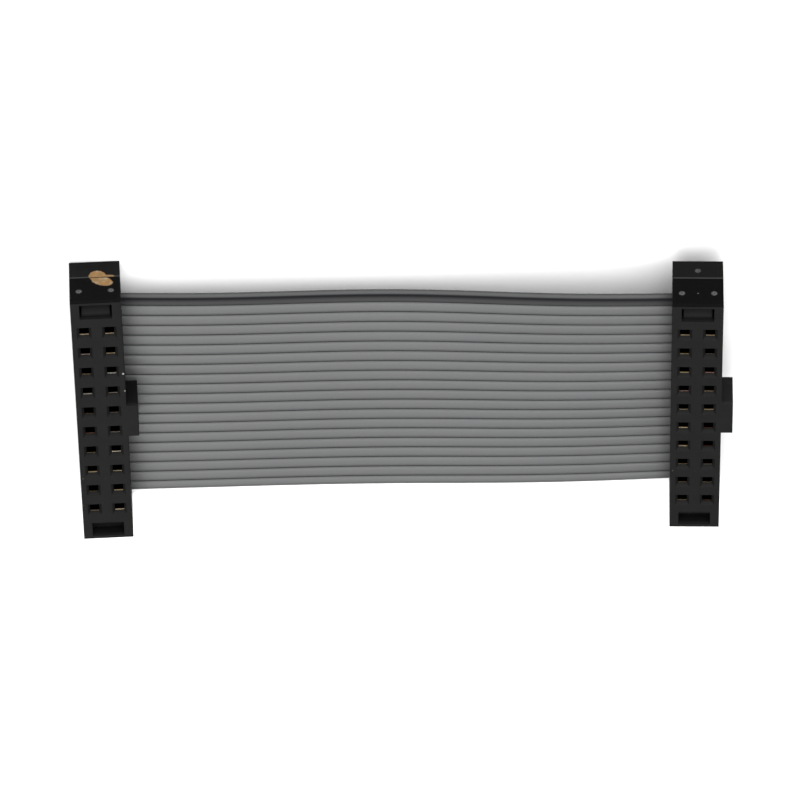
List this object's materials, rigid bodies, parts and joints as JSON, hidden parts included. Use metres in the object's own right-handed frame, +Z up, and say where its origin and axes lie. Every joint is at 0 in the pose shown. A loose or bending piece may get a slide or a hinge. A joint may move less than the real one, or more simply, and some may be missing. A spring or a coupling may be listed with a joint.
{
  "type": "ribbon cable",
  "caption": "Short grey flat ribbon cable with a black keyed pin-header socket clamped on each end, sockets opening upward.",
  "frame": {"origin": "middle of the overall footprint, on the surface the cable lies on", "axes": "+X along the ribbon towards the socket whose key points away from the ribbon, +Z up, out of the mating faces"},
  "size_m": [0.0668, 0.031, 0.0094],
  "materials": {
    "socket_plastic": "matte",
    "cover_plastic": "matte",
    "ribbon_vinyl": "satin",
    "contact_metal": "plated, satin",
    "wire_metal": "tinned copper, satin"
  },
  "bodies": {
    "root": {"conductor_pair_01": "wire_metal", "conductor_pair_02": "wire_metal", "conductor_pair_03": "wire_metal", "conductor_pair_04": "wire_metal", "conductor_pair_05": "wire_metal", "conductor_pair_06": "wire_metal", "conductor_pair_07": "wire_metal", "conductor_pair_08": "wire_metal", "conductor_pair_09": "wire_metal", "conductor_pair_10": "wire_metal", "contact_left_01": "contact_metal", "contact_left_02": "contact_metal", "contact_left_03": "contact_metal", "contact_left_04": "contact_metal", "contact_left_05": "contact_metal", "contact_left_06": "contact_metal", "contact_left_07": "contact_metal", "contact_left_08": "contact_metal", "contact_left_09": "contact_metal", "contact_left_10": "contact_metal", "contact_left_11": "contact_metal", "contact_left_12": "contact_metal", "contact_left_13": "contact_metal", "contact_left_14": "contact_metal", "contact_left_15": "contact_metal", "contact_left_16": "contact_metal", "contact_left_17": "contact_metal", "contact_left_18": "contact_metal", "contact_left_19": "contact_metal", "contact_left_20": "contact_metal", "contact_right_01": "contact_metal", "contact_right_02": "contact_metal", "contact_right_03": "contact_metal", "contact_right_04": "contact_metal", "contact_right_05": "contact_metal", "contact_right_06": "contact_metal", "contact_right_07": "contact_metal", "contact_right_08": "contact_metal", "contact_right_09": "contact_metal", "contact_right_10": "contact_metal", "contact_right_11": "contact_metal", "contact_right_12": "contact_metal", "contact_right_13": "contact_metal", "contact_right_14": "contact_metal", "contact_right_15": "contact_metal", "contact_right_16": "contact_metal", "contact_right_17": "contact_metal", "contact_right_18": "contact_metal", "contact_right_19": "contact_metal", "contact_right_20": "contact_metal", "cover_left": "cover_plastic", "cover_right": "cover_plastic", "ribbon_insulation": "ribbon_vinyl", "socket_body_left": "socket_plastic", "socket_body_right": "socket_plastic"}
  },
  "joints": []
}
